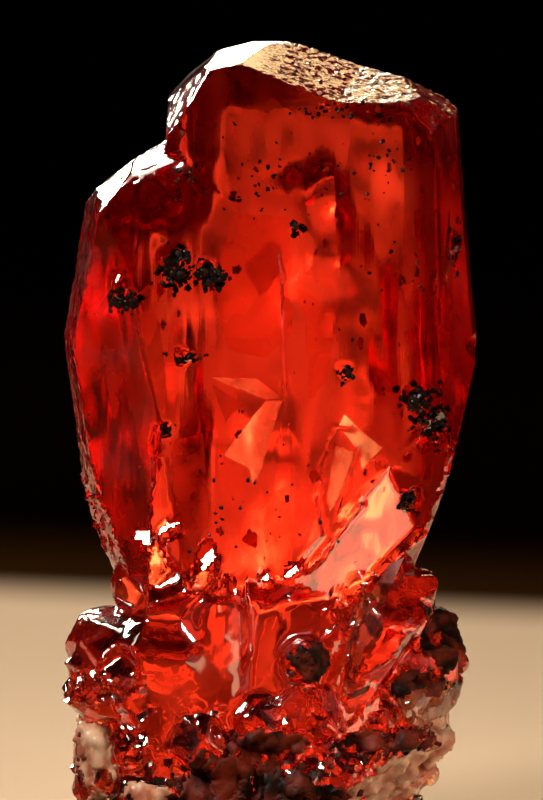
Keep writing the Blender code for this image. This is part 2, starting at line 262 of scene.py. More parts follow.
def even_mesh(source, size):
    """An even copy of the solid's mesh in small faces, with its faces flat and its edges crisp."""
    copy = source.copy()
    copy.data = source.data.copy()
    copy.data.transform(source.matrix_world)
    copy.data.transform(Matrix.Scale(1.0 / MM, 4))
    copy.matrix_world = Matrix.Identity(4)
    bpy.context.scene.collection.objects.link(copy)
    step = copy.modifiers.new("even", "REMESH")
    step.mode = "VOXEL"
    step.voxel_size = size / MM
    bpy.context.view_layer.update()
    depsgraph = bpy.context.evaluated_depsgraph_get()
    made = bpy.data.meshes.new_from_object(copy.evaluated_get(depsgraph))
    bpy.data.objects.remove(copy, do_unlink=True)
    made.transform(Matrix.Scale(MM, 4))
    shape = bmesh.new()
    shape.from_mesh(made)
    bpy.data.meshes.remove(made)
    tree = solid_tree()
    edges = edge_points(source, 0.2 * size)
    catch = 0.55 * size
    most_backward = 0.3
    for spot in shape.verts:
        place, way, _, _ = tree.find_nearest(spot.co)
        spot.co = place
        near, _, away = edges.find(place)
        if away < catch and way.y < most_backward:
            spot.co = near
    return shape


def edge_points(source, gap):
    """Points along every edge of the solid where its faces meet at more than a slight angle."""
    flat_angle, crisp_angle = math.radians(1.0), math.radians(12.0)
    shape = bmesh.new()
    shape.from_mesh(source.data)
    bmesh.ops.remove_doubles(shape, verts=shape.verts[:], dist=0.000002)
    bmesh.ops.dissolve_limit(
        shape, angle_limit=flat_angle, verts=shape.verts[:], edges=shape.edges[:]
    )
    points = []
    for edge in shape.edges:
        if len(edge.link_faces) == 2 and edge.calc_face_angle(0.0) > crisp_angle:
            first, last = edge.verts[0].co, edge.verts[1].co
            count = max(1, int((last - first).length / gap))
            points += [first.lerp(last, step / count) for step in range(count + 1)]
    shape.free()
    found = KDTree(len(points))
    for index, place in enumerate(points):
        found.insert(place, index)
    found.balance()
    return found


def ramp(value, low, high):
    """0 below low, 1 above high, smooth between."""
    part = min(1.0, max(0.0, (value - low) / (high - low)))
    return part * part * (3.0 - 2.0 * part)


def etched_share(place, way):
    """How far a place is etched: the crown's right wholly, its left and the shoulder slightly, and
    the large crystal's left edge in spots."""
    top = ramp(place.z, 23.6 * MM, 24.4 * MM) * ramp(way.z, 0.40, 0.52)
    top *= 0.12 + 0.88 * ramp(place.x, -1.6 * MM, 0.4 * MM)
    edge = ramp(-way.x, 0.93, 0.97) * ramp(place.z, 11.0 * MM, 13.0 * MM)
    spots = ramp(noise.noise(place * 2600.0), 0.0, 0.3)
    return max(top, 0.7 * edge * spots)


def back_growth(place):
    """Uneven lengthwise growth, seen through the crystal."""
    broad = noise.noise(Vector((place.x * 700.0, place.y * 700.0, place.z * 160.0)))
    fine = noise.noise(Vector((place.x * 2100.0, place.y * 2100.0, place.z * 420.0 + 7.0)))
    lumps = noise.noise(place * 620.0 + Vector((3.0, 1.0, 9.0)))
    return 0.55 * broad + 0.22 * fine + 0.5 * lumps


def hillocks(place, height):
    """Etched bumps, low on the shoulder and the crown's left and high on its right."""
    share = 0.12 + 0.88 * ramp(place.x, -1.2 * MM, 1.2 * MM)
    return height * share * noise.noise(place * 6500.0)


def bevel_share(place, way):
    """The narrow left side of the large crystal, which is pitted."""
    return ramp(-way.x, 0.80, 0.90) * ramp(place.z, 10.0 * MM, 11.0 * MM)


def back_haze(place):
    """How hazy the back is: patches drawn out lengthwise, strongest left of the middle."""
    x, z = place.x / MM, place.z / MM
    patch = noise.noise(Vector((x * 0.42, place.y * 400.0, z * 0.16)))
    patch += 0.6 * noise.noise(Vector((x * 1.3 + 5.0, place.y * 900.0, z * 0.35)))
    bright = math.exp(-((x + 0.7) / 1.6) ** 2 - ((z - 20.5) / 4.5) ** 2)
    return 0.25 + 0.75 * ramp(patch + 0.8 * bright, -0.25, 0.7)


def cluster_growth(place):
    """Rounded swells and hollows of the crystals in the cluster."""
    return noise.noise(place * 900.0) + 0.4 * noise.noise(place * 2300.0)


def relax(shape, spots, rounds, factor=0.5, depth_only=False):
    """Evens out some points of a mesh, or only how far forward they lie."""
    across = not depth_only
    for _ in range(rounds):
        bmesh.ops.smooth_vert(
            shape, verts=spots, factor=factor,
            use_axis_x=across, use_axis_y=True, use_axis_z=across,
        )


def widen_shoulder(shape):
    """Moves the shoulder back, so that its bright slope starts lower on the front."""
    left, right = -7.0, -3.1
    start_x, start_z, climb = -6.6, 24.66, 0.289
    band, push = 0.29, 1.73
    for spot in shape.verts:
        x, y, z = spot.co / MM
        above = z - (start_z + climb * (x - start_x))
        if left < x < right and above > 0.0:
            spot.co.y += push * min(above, band) * ramp(1.5 - y, 0.0, 2.5) * MM


def near_line(x, z, first, last):
    """Distance from a line between two places, seen from the front."""
    start, reach = Vector(first), Vector(last) - Vector(first)
    part = min(1.0, max(0.0, (Vector((x, z)) - start).dot(reach) / reach.length_squared))
    return (Vector((x, z)) - start - part * reach).length


def soften_step(shape):
    """Fades the growth step on the front at both ends, so that it is crisp in its middle only."""
    upper_end = (-3.0, 25.9), (0.4, 22.9)
    lower_end = (0.45, 19.4), (-0.3, 10.4)
    reach = 1.3
    faded = []
    for spot in shape.verts:
        x, z = spot.co.x / MM, spot.co.z / MM
        if spot.co.y > -4.0 * MM or z < 10.6 or z > 26.0:
            continue
        if min(near_line(x, z, *upper_end), near_line(x, z, *lower_end)) < reach:
            faded.append(spot)
    relax(shape, faded, 160, depth_only=True)


def mend_break(shape):
    """Keeps the pale broken face to its outline: fills the groove on its left, and brings what is
    beyond it on the right forward to the front."""
    slant = facing(29.0, -22.0)
    front = -4.75
    top_x, top_z = 4.26, 14.63
    side_x, side_z = 5.30, 12.41
    for spot in shape.verts:
        x, y, z = spot.co / MM
        if z < 9.8 or y > -1.5 or x < 1.3:
            continue
        left = -0.797 * (x - top_x) + 0.603 * (z - top_z)
        below = 0.694 * (x - side_x) - 0.72 * (z - side_z)
        above = 0.906 * (x - top_x) + 0.424 * (z - top_z)
        beyond = max(below, above)
        if left > -0.05 and x < 4.7 and 10.9 < z < 17.2 and front < y < -2.8:
            spot.co.y = front * MM
        elif beyond > 0.0 and spot.normal.dot(slant) > 0.96 and y > front:
            spot.co.y = max(front, y - 0.75 * beyond) * MM


def turn_glints(shape):
    """Lays small faces of the front flat towards the left front lamp, where the photograph shows
    them pale, and says which points it moved."""
    lamp_azimuth, lamp_rise = -21.3, 24.5
    reach, unevenness, most = 2.0, 4.5, 0.6 * MM
    tree = solid_tree()
    turned = set()
    for x, z, half_x, half_z, lean, size, off in GLINTS:
        turn = math.radians(lean)
        seeds = {}
        for spot in shape.verts:
            across, up = spot.co.x / MM - x, spot.co.z / MM - z
            if max(abs(across), abs(up)) > reach or spot.co.y > 0.0 or spot.normal.y > -0.05:
                continue
            along = across * math.cos(turn) + up * math.sin(turn)
            beside = up * math.cos(turn) - across * math.sin(turn)
            if math.hypot(along / half_x, beside / half_z) > 1.0:
                continue
            seed = Vector((x, 0.0, z))
            if size > 0.0:
                cell = Vector((spot.co.x / MM / size, 0.0, spot.co.z / MM / size))
                near = noise.voronoi(cell)[1][0]
                seed = Vector((near.x * size, 0.0, near.z * size))
            key = (round(seed.x, 3), round(seed.z, 3))
            if key not in seeds:
                place, _ = front_spot(tree, seed.x * MM, seed.z * MM)
                tilt = noise.noise_vector(seed * 3.7) * (unevenness if size > 0.0 else 0.0)
                seeds[key] = (place, facing(lamp_azimuth + off + tilt.x, lamp_rise + off + tilt.y))
            place, way = seeds[key]
            if place is None:
                continue
            level = Vector((spot.co.x, 0.0, spot.co.z)) - Vector((seed.x, 0.0, seed.z)) * MM
            target = place.y - (way.x * level.x + way.z * level.z) / way.y
            spot.co.y += max(-most, min(most, target - spot.co.y))
            turned.add(spot)
    return turned


# Pale little faces on the front, in mm and degrees: x, z, half length, half width, slant, size of
# the facets that it breaks into, or 0 where it is one face, and angle off the lamp
GLINTS = (
    (-6.2, 6.55, 1.4, 0.6, 10, 0.6, 0.0), (-5.05, 4.6, 0.6, 0.6, 0, 0.6, 0.0),
    (-6.7, 9.0, 0.7, 0.22, 25, 0.3, 0.0), (-3.65, 12.6, 0.62, 0.16, 32, 0.0, 2.0),
    (-4.6, 12.1, 0.42, 0.28, -20, 0.0, 3.0), (-3.4, 10.6, 1.0, 0.16, 27, 0.0, 3.0),
    (-2.3, 11.5, 0.35, 0.55, -15, 0.0, 2.0), (-1.3, 10.1, 0.75, 0.14, -62, 0.0, 2.0),
    (-0.15, 10.75, 0.2, 0.22, 0, 0.0, 0.0), (0.8, 10.9, 0.42, 0.2, 45, 0.0, 1.0),
    (6.4, 6.2, 0.6, 0.14, 35, 0.0, 4.0), (5.8, 6.9, 0.7, 0.12, 12, 0.0, 4.0),
)


def small_facets(place, size, tilt):
    """Height of broken, flat little faces that lean each its own way."""
    sized = place / size
    near = noise.voronoi(sized)[1][0]
    lean = noise.noise_vector(near * 5.1)
    return tilt * size * max(-0.5, min(0.5, lean.dot(sized - near)))


def cluster_facets(place):
    """Faces of the small crystals: crumbly on the left, long blades on the right."""
    x, z = place.x / MM, place.z / MM
    height = 0.0
    left = ramp(-3.9 - x, 0.0, 0.6) * ramp(z, 0.8, 1.6)
    if left > 0.0:
        height += left * (1.0 - 0.9 * ramp(z, 6.9, 7.4)) * small_facets(place, 0.8 * MM, 0.6)
    right = ramp(x - 0.6, 0.0, 0.8) * ramp(z, 0.8, 1.6)
    if right > 0.0:
        along = 0.50 * place.x + 0.87 * place.z
        over = 0.87 * place.x - 0.50 * place.z
        height += right * small_facets(Vector((over, place.y, 0.28 * along)), 0.7 * MM, 0.45)
    low = ramp(6.2 - z, 0.0, 0.8) * ramp(z, 0.4, 1.2) * (1.0 - left)
    if low > 0.0:
        height += low * small_facets(place, 0.8 * MM, 0.5)
    return height


def wear_edges(shape):
    """Rounds the cluster's edges well and those of the large crystal slightly."""
    cluster = [spot for spot in shape.verts if FOOT_TOP < spot.co.z < NECK_TOP]
    relax(shape, cluster, 4)
    middle = [
        spot for spot in cluster
        if -4.4 * MM < spot.co.x < 0.2 * MM and 6.0 * MM < spot.co.z < 9.7 * MM and spot.co.y < 0.0
    ]
    relax(shape, middle, 25)
    shape.normal_update()
    back = [spot for spot in shape.verts if spot.co.z >= NECK_TOP and spot.normal.y > 0.05]
    relax(shape, back, 120)
    crystal = [spot for spot in shape.verts if spot.co.z >= NECK_TOP]
    relax(shape, crystal, 1, factor=0.4)


def relief(spot, settings, etched, back, low):
    """Height of the fine forms at a point, for how etched it is, how far it faces back and how far
    it belongs to the cluster."""
    place = spot.co
    pitted = bevel_share(place, spot.normal)
    height = back * ramp(place.z, 6.0 * MM, 9.0 * MM) * settings.back_relief * back_growth(place)
    height += etched * hillocks(place, settings.hillock_height)
    height += pitted * 0.06 * MM * noise.noise(place * 4200.0)
    height += pitted * ramp(14.5 * MM - place.z, 0.0, 1.0 * MM) * small_facets(place, 0.5 * MM, 0.9)
    height += low * ramp(place.z, 0.2 * MM, 0.8 * MM) * settings.lump_relief * cluster_growth(place)
    return height


class SPECIMEN_OT_crystal(bpy.types.Operator):
    """Builds the clear crystal body over the solid model"""

    bl_idname = "specimen.crystal"
    bl_label = "Crystal body"

    def execute(self, context):
        settings = context.scene.specimen_crystal
        noise.seed_set(FACET_SEED)
        source = bpy.data.objects[NODE]
        shape = even_mesh(source, settings.mesh_size)
        widen_shoulder(shape)
        soften_step(shape)
        shape.normal_update()
        mend_break(shape)
        wear_edges(shape)
        shape.normal_update()
        turned = turn_glints(shape)
        shape.normal_update()
        skin = shape.verts.layers.float_color.new("skin")
        moves = []
        for spot in shape.verts:
            etched = etched_share(spot.co, spot.normal)
            back = ramp(spot.normal.y, -0.1, 0.6)
            low = 1.0 - ramp(spot.co.z, 9.4 * MM, 10.6 * MM)
            steep = back * ramp(1.0 - spot.normal.y, 0.25, 0.6)
            haze = max(back * back_haze(spot.co), steep, 0.15 * bevel_share(spot.co, spot.normal))
            haze = max(haze, 1.4 * low * back)
            spot[skin] = (etched, haze, low, 1.0)
            height = relief(spot, settings, etched, back, low)
            if low > 0.0 and spot not in turned:
                height += low * cluster_facets(spot.co)
            moves.append((spot, spot.normal * height))
        for spot, move in moves:
            spot.co += move
        crown = [face for face in shape.faces if face.verts[0][skin][0] > 0.5]
        bmesh.ops.triangulate(shape, faces=crown)
        for face in shape.faces:
            face.smooth = face.verts[0][skin][0] <= 0.5
        mesh = bpy.data.meshes.new("crystal_body")
        shape.to_mesh(mesh)
        shape.free()
        body = bpy.data.objects.new("crystal_body", mesh)
        context.scene.collection.objects.link(body)
        mesh.set_sharp_from_angle(angle=math.radians(30.0))
        mesh.materials.append(clear_crystal_material(settings))
        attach(body, BODY)
        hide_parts(NODE)
        return {"FINISHED"}


def closed_piece(name, shape, material, flat=True):
    """Makes an object of a mesh, marks it as part of the specimen and gives it its material."""
    mesh = bpy.data.meshes.new(name)
    shape.to_mesh(mesh)
    shape.free()
    for face in mesh.polygons:
        face.use_smooth = not flat
    mesh.materials.append(material)
    made = bpy.data.objects.new(name, mesh)
    bpy.context.scene.collection.objects.link(made)
    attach(made, BODY)
    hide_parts(NODE)


def facing(azimuth, rise):
    """A direction: azimuth 0 looks to the front and 90 to the right, rise is above the level."""
    turn = math.radians(azimuth)
    lift = math.radians(rise)
    return Vector((math.sin(turn) * math.cos(lift), -math.cos(turn) * math.cos(lift), math.sin(lift)))


def front_spot(tree, x, z):
    """Where a level line from the front meets the solid at this x and z, and its way."""
    place, way, _, _ = tree.ray_cast(Vector((x, -0.05, z)), Vector((0.0, 1.0, 0.0)))
    return place, way


def air_gap_material():
    """The walls of a thin crack that is filled with air."""
    material, nodes, links, surface = new_material("air_gap")
    surface.inputs["Base Color"].default_value = (1.0, 0.75, 0.65, 1.0)
    surface.inputs["Transmission Weight"].default_value = 1.0
    surface.inputs["IOR"].default_value = CRYSTAL_IOR
    place = nodes.new("ShaderNodeTexCoord").outputs["Object"]
    ripple = noise_node(nodes, links, place, 1100.0, 3.0, (1.0, 1.0, 0.5))
    waves = bump_node(nodes, links, ripple, 0.00003, 0.5)
    links.new(waves, surface.inputs["Normal"])
    links.new(span_node(nodes, links, ripple, 0.4, 0.65, 0.14, 0.28), surface.inputs["Roughness"])
    return material


def veil_material():
    """A hazy healed crack, full of bubbles too small to see."""
    material, nodes, links, surface = new_material("hazy_veil")
    surface.inputs["Base Color"].default_value = (1.0, 0.72, 0.6, 1.0)
    surface.inputs["Transmission Weight"].default_value = 1.0
    surface.inputs["IOR"].default_value = 1.4
    place = nodes.new("ShaderNodeTexCoord").outputs["Object"]
    cloud = noise_node(nodes, links, place, 900.0, 3.0)
    links.new(span_node(nodes, links, cloud, 0.35, 0.65, 0.12, 0.5), surface.inputs["Roughness"])
    return material


def outline_middle(corners):
    """The mean place of an outline's corners."""
    return sum(x for x, _ in corners) / len(corners), sum(z for _, z in corners) / len(corners)


def crack(shape, corners, depth, azimuth, rise, thick=CRACK_GAP):
    """Adds a flat crack with the given outline, seen from the front, that leans as told."""
    out = facing(azimuth, rise)
    middle_x, middle_z = outline_middle(corners)
    middle = Vector((middle_x, depth, middle_z)) * MM
    rings = []
    for side in (0.5, -0.5):
        ring = []
        for x, z in corners:
            level = Vector((x * MM, 0.0, z * MM))
            drop = (middle - level).dot(out) / out.y
            ring.append(shape.verts.new(level + Vector((0.0, drop, 0.0)) + out * side * thick))
        rings.append(ring)
    count = len(corners)
    faces = [shape.faces.new(rings[0]), shape.faces.new(rings[1][::-1])]
    for step in range(count):
        after = (step + 1) % count
        faces.append(shape.faces.new((rings[0][step], rings[1][step], rings[1][after], rings[0][after])))
    return faces


# Cracks that catch the light: outline in mm as (x, z), depth under the front, azimuth, rise
CRACKS = (
    # The two bright triangles that meet left of the middle
    (((-0.22, 17.1), (-1.67, 15.1), (-0.81, 14.65), (-0.67, 13.9), (-0.41, 14.5), (0.33, 17.1)), 1.7, -6, 8),
    (((-2.19, 17.95), (-0.22, 17.15), (0.33, 17.2), (-0.5, 17.9)), 1.6, -8, 5),
    (((-1.6, 16.3), (-1.0, 17.0), (-2.1, 17.7)), 1.9, -2, 12),
    # The wedge and the strip left of the broken corner
    (((2.41, 15.45), (3.22, 15.2), (3.04, 14.3), (2.22, 13.1), (1.11, 11.15), (1.78, 13.4)), 0.6, -7, 6),
    (((2.70, 16.6), (4.07, 15.4), (3.33, 14.6), (3.22, 15.3), (2.48, 16.2)), 0.35, -6, 8),
    # The long bright face below the broken corner
    (((4.9, 11.3), (4.3, 11.0), (3.0, 8.6), (2.1, 6.9), (2.5, 6.8), (3.9, 9.0)), 0.9, -6, 8),
    (((4.3, 10.3), (4.0, 10.2), (3.8, 9.2), (4.1, 9.4)), 0.7, -6, 8),
    (((3.6, 7.0), (2.9, 6.7), (2.8, 6.3), (3.5, 6.6)), 0.7, -6, 8),
    # Other small bright faces
    (((-0.9, 21.9), (-0.2, 22.6), (0.3, 21.4), (-0.3, 20.8)), 4.0, 0, 3),
    (((4.6, 21.8), (5.0, 23.9), (5.3, 22.0), (5.0, 20.4)), 2.4, -12, 10),
    (((-4.4, 18.9), (-4.0, 20.0), (-3.7, 17.2), (-4.2, 15.6)), 2.6, -12, 6),
)

# Hazy veils inside: outline in mm as (x, z), depth behind the middle plane, azimuth, rise
VEILS = (
    (((-1.48, 23.6), (0.48, 23.6), (0.5, 19.4), (-0.3, 18.6), (-1.5, 18.9), (-2.0, 21.2)), -1.4, 12, 8),
    (((-5.2, 20.4), (-4.2, 21.4), (-3.8, 18.2), (-4.8, 16.4)), -0.5, 20, 12),
    (((0.9, 21.0), (2.3, 20.2), (2.0, 17.6), (1.1, 16.8)), 1.2, -15, 10),
    (((-3.6, 15.5), (-2.4, 15.8), (-2.2, 12.4), (-3.2, 11.9)), -1.2, 18, 8),
    (((-0.4, 13.6), (0.6, 13.9), (0.9, 11.2), (-0.2, 10.6)), -2.0, -10, 6),
)


class SPECIMEN_OT_cracks(bpy.types.Operator):
    """Builds the cracks and tiny flat bubbles inside the crystal"""

    bl_idname = "specimen.cracks"
    bl_label = "Inner cracks"

    def execute(self, context):
        shape = bmesh.new()
        for corners, depth, azimuth, rise in VEILS:
            crack(shape, corners, depth, azimuth, rise, VEIL_GAP)
        bmesh.ops.recalc_face_normals(shape, faces=shape.faces[:])
        closed_piece("hazy_veils", shape, veil_material())
        shape = bmesh.new()
        tree = solid_tree()
        for corners, under, azimuth, rise in CRACKS:
            middle_x, middle_z = outline_middle(corners)
            place, _ = front_spot(tree, middle_x * MM, middle_z * MM)
            crack(shape, corners, place.y / MM + under, azimuth, rise)
        draw = random.Random(41)
        for _ in range(110):
            x, z = draw.uniform(-5.8, 5.8), draw.uniform(9.5, 26.8)
            if x < -3.2 and z > 23.0:
                continue
            size = 0.04 + 0.18 * draw.random() ** 3
            turn = draw.uniform(0.0, ABOUT_A_TURN)
            count = draw.choice((5, 7, 8))
            corners = []
            for step in range(count):
                angle = turn + step * math.tau / count
                reach = size * draw.uniform(0.45, 1.2)
                corners.append((x + reach * math.cos(angle), z + 1.6 * reach * math.sin(angle)))
            crack(shape, corners, draw.uniform(-2.9, 2.6), draw.uniform(-75, 75), draw.uniform(-40, 70))
        bmesh.ops.recalc_face_normals(shape, faces=shape.faces[:])
        bmesh.ops.reverse_faces(shape, faces=shape.faces[:])
        closed_piece("inner_cracks", shape, air_gap_material())
        return {"FINISHED"}


def grain_material():
    """Dark grains with a metallic shine."""
    material, nodes, links, surface = new_material("dark_grains")
    place = nodes.new("ShaderNodeTexCoord").outputs["Object"]
    mixed = noise_node(nodes, links, place, 2600.0, 2.0)
    spread = span_node(nodes, links, mixed, 0.35, 0.7, 0.0, 1.0)
    tone = blend_node(nodes, links, spread, (0.006, 0.004, 0.004, 1.0), (0.05, 0.03, 0.025, 1.0))
    links.new(tone, surface.inputs["Base Color"])
    surface.inputs["Metallic"].default_value = 0.6
    surface.inputs["Roughness"].default_value = 0.32
    return material


def crust_material():
    """Brown-black rough crust."""
    material, nodes, links, surface = new_material("dark_crust")
    place = nodes.new("ShaderNodeTexCoord").outputs["Object"]
    mixed = noise_node(nodes, links, place, 900.0, 4.0)
    spread = span_node(nodes, links, mixed, 0.4, 0.68, 0.0, 1.0)
    tone = blend_node(nodes, links, spread, (0.012, 0.003, 0.001, 1.0), (0.24, 0.024, 0.008, 1.0))
    links.new(tone, surface.inputs["Base Color"])
    surface.inputs["Roughness"].default_value = 0.62
    surface.inputs["Specular IOR Level"].default_value = 0.35
    grain = noise_node(nodes, links, place, 5200.0, 3.0)
    links.new(bump_node(nodes, links, grain, 0.00005, 0.7), surface.inputs["Normal"])
    return material


def scattered_spot(tree, draw, patch_x, patch_z, half_x, half_z, spread):
    """A random place of a patch on the front, and its way. The patch is densest in its middle."""
    x = patch_x + draw.gauss(0.0, spread) * half_x
    z = patch_z + draw.gauss(0.0, spread) * half_z
    return front_spot(tree, x * MM, z * MM)


def grain(shape, draw, place, way, size):
    """Adds one closed angular grain, flattened along a way."""
    made = bmesh.ops.create_icosphere(shape, subdivisions=1, radius=1.0)["verts"]
    for spot in made:
        spot.co *= draw.uniform(0.65, 1.15)
    stretch = Matrix.Diagonal((draw.uniform(0.7, 1.3), draw.uniform(0.7, 1.3), GRAIN_FLATNESS, 1.0))
    lay = way.to_track_quat("Z", "Y").to_matrix().to_4x4()
    spin = Matrix.Rotation(draw.uniform(0.0, ABOUT_A_TURN), 4, "Z")
    laid = Matrix.Translation(place) @ lay @ spin @ stretch @ Matrix.Scale(size, 4)
    bmesh.ops.transform(shape, verts=made, matrix=laid)


# Patches of dark grains on and just under the front: x, z, half width, half height, count, grain size
GRAIN_PATCHES = (
    (-3.4, 22.0, 0.50, 0.60, 110, 0.12), (-2.1, 21.7, 0.42, 0.36, 80, 0.11),
    (-2.7, 21.75, 0.9, 0.25, 30, 0.08), (-5.3, 20.75, 0.42, 0.30, 60, 0.11),
    (-3.0, 18.75, 0.50, 0.14, 34, 0.09), (-3.75, 16.1, 0.2, 0.24, 22, 0.09),
    (0.95, 23.4, 0.24, 0.24, 24, 0.10), (2.8, 18.1, 0.24, 0.24, 22, 0.10),
    (5.3, 17.1, 0.42, 0.42, 66, 0.12), (5.95, 16.3, 0.42, 0.55, 80, 0.12),
    (5.0, 13.35, 0.3, 0.42, 50, 0.12), (6.75, 22.6, 0.22, 0.8, 40, 0.10),
    (0.4, 25.4, 3.4, 1.4, 70, 0.06), (2.6, 27.7, 1.9, 0.25, 34, 0.08),
    (-2.9, 25.3, 0.5, 0.8, 22, 0.07), (4.4, 26.0, 0.9, 0.9, 26, 0.06),
    (-1.2, 13.0, 3.0, 2.2, 34, 0.06), (4.6, 21.0, 1.4, 3.0, 34, 0.06),
)


class SPECIMEN_OT_grains(bpy.types.Operator):
    """Builds the dark grains that lie on and just under the faces"""

    bl_idname = "specimen.grains"
    bl_label = "Dark grains"

    def execute(self, context):
        tree = solid_tree()
        draw = random.Random(17)
        shape = bmesh.new()
        for x, z, half_x, half_z, count, size in GRAIN_PATCHES:
            for _ in range(count):
                place, way = scattered_spot(tree, draw, x, z, half_x, half_z, 0.6)
                if place is None:
                    continue
                radius = size * draw.uniform(0.5, 1.5) * MM
                sunk = draw.choice((0.2, 0.6, 1.5, 4.0)) * radius
                grain(shape, draw, place - way * sunk, way, radius)
        closed_piece("dark_grains", shape, grain_material())
        return {"FINISHED"}


# Where the dark crust lies, seen from the front: x, z, half width, half height, count, chip size
CRUST_PATCHES = (
    (-1.4, 2.6, 2.4, 0.9, 260, 0.26), (0.6, 2.2, 1.8, 0.8, 180, 0.26), (3.9, 4.35, 1.5, 0.45, 70, 0.20),
    (-2.0, 0.9, 3.4, 0.8, 160, 0.28), (1.3, 7.6, 0.55, 0.6, 40, 0.22),
)


class SPECIMEN_OT_crust(bpy.types.Operator):
    """Builds the rough dark crust low on the front"""

    bl_idname = "specimen.crust"
    bl_label = "Dark crust"

    def execute(self, context):
        tree = solid_tree()
        draw = random.Random(29)
        shape = bmesh.new()
        for x, z, half_x, half_z, count, size in CRUST_PATCHES:
            for _ in range(count):
                place, way = scattered_spot(tree, draw, x, z, half_x, half_z, 0.55)
                if place is None or place.z < 0.5 * MM:
                    continue
                radius = size * draw.uniform(0.4, 1.3) * MM
                lean = (way + Vector([draw.uniform(-0.5, 0.5) for _ in range(3)])).normalized()
                grain(shape, draw, place - way * 0.3 * radius, lean, radius)
        closed_piece("dark_crust", shape, crust_material())
        return {"FINISHED"}


def skin_patch(shape, body, regions, lift, wobble, holes, seed, behind):
    """Copies the body's faces inside the given ovals, on its front or behind, as a rough skin."""
    least_backward = 0.35
    mesh = body.data
    kept, ways = {}, {}
    for face in mesh.polygons:
        middle = face.center
        if (face.normal.y > least_backward) != behind:
            continue
        drift = wobble * (noise.noise(middle * 1100.0) + 0.5 * noise.noise(middle * 3000.0))
        inside = False
        for x, z, half_x, half_z in regions:
            away = math.hypot((middle.x / MM - x) / half_x, (middle.z / MM - z) / half_z)
            inside = inside or away + drift < 1.0
        if not inside or noise.noise(middle * 800.0 + Vector((seed, 0.0, 0.0))) < holes - 0.5:
            continue
        corners = []
        for index in face.vertices:
            if index not in kept:
                spot = mesh.vertices[index]
                rough = lift + max(0.0, small_facets(spot.co, 0.36 * MM, 0.8) + 0.03 * MM)
                kept[index] = shape.verts.new(spot.co + spot.normal * rough)
                ways[kept[index]] = spot.normal.copy()
            corners.append(kept[index])
        shape.faces.new(corners)
    outer = shape.faces[:]
    rim = [edge for edge in shape.edges if edge.is_boundary]
    under = {spot: shape.verts.new(spot.co - 1.6 * lift * way) for spot, way in ways.items()}
    for face in outer:
        shape.faces.new([under[spot] for spot in reversed(face.verts)])
    for edge in rim:
        first, last = edge.verts
        shape.faces.new((first, last, under[last], under[first]))
    for spot in shape.verts:
        spot.co.z = max(spot.co.z, 0.0)
    bmesh.ops.recalc_face_normals(shape, faces=shape.faces[:])


def tan_material():
    """Pale tan skin with a dull shine: weathered low on the left, and on the broken face partly a painted
    reflection of the pale floor.
    """
    material, nodes, links, surface = new_material("tan_skin")
    place = nodes.new("ShaderNodeTexCoord").outputs["Object"]
    mixed = noise_node(nodes, links, place, 1500.0, 4.0, (1.0, 1.0, 0.6))
    spread = span_node(nodes, links, mixed, 0.38, 0.66, 0.0, 1.0)
    tone = blend_node(nodes, links, spread, (0.48, 0.13, 0.06, 1.0), (0.85, 0.55, 0.34, 1.0))
    links.new(tone, surface.inputs["Base Color"])
    surface.inputs["Roughness"].default_value = 0.4
    surface.inputs["Coat Weight"].default_value = 0.3
    surface.inputs["Coat Roughness"].default_value = 0.2
    links.new(bump_node(nodes, links, mixed, 0.00006, 0.6), surface.inputs["Normal"])
    return material


# Where the skins lie, in mm and seen from the front: x, z, half width, half height
TAN_REGIONS = (
    (-6.45, 3.9, 0.75, 1.35), (-4.55, 2.45, 0.95, 0.6), (-6.3, 1.6, 0.6, 0.9),
)
# The broken face's pale tan skin is partly a painted reflection of the pale floor
BROKEN_REGIONS = (
    (6.0, 4.4, 0.9, 0.6), (5.2, 3.4, 1.2, 0.8), (4.0, 2.3, 1.5, 0.9), (3.2, 1.0, 1.8, 1.0),
)
DARK_REGIONS = (
    (-1.4, 2.9, 2.6, 1.25), (0.9, 2.3, 2.0, 1.1), (-2.2, 0.9, 3.6, 1.2), (4.2, 4.55, 1.5, 0.4),
    (1.35, 7.55, 0.75, 0.7), (6.4, 8.2, 0.8, 1.3), (-0.2, 4.6, 1.6, 0.5), (5.6, 6.6, 1.0, 0.5),
)
DARK_BEHIND = ((-2.0, 0.9, 6.0, 1.8), (2.5, 0.9, 5.0, 1.6))

# The skins: name, regions, height in mm, raggedness, how many holes, seed, material, whether behind
SKINS = (
    ("dark_skin", DARK_REGIONS, 0.05, 0.5, 0.20, 3.0, crust_material, False),
    ("dark_skin_behind", DARK_BEHIND, 0.05, 0.4, 0.10, 5.0, crust_material, True),
    ("tan_skin", TAN_REGIONS, 0.04, 0.4, 0.28, 8.0, tan_material, False),
    ("broken_skin", BROKEN_REGIONS, 0.03, 0.3, 0.20, 2.0, tan_material, False),
)


class SPECIMEN_OT_skins(bpy.types.Operator):
    """Builds the dark and the pale tan skins low on the specimen"""

    bl_idname = "specimen.skins"
    bl_label = "Crust skins"

    def execute(self, context):
        body = bpy.data.objects["crystal_body"]
        noise.seed_set(FACET_SEED)
        for name, regions, lift, wobble, holes, seed, finish, behind in SKINS:
            shape = bmesh.new()
            skin_patch(shape, body, regions, lift * MM, wobble, holes, seed, behind)
            closed_piece(name, shape, finish(), flat=False)
        return {"FINISHED"}


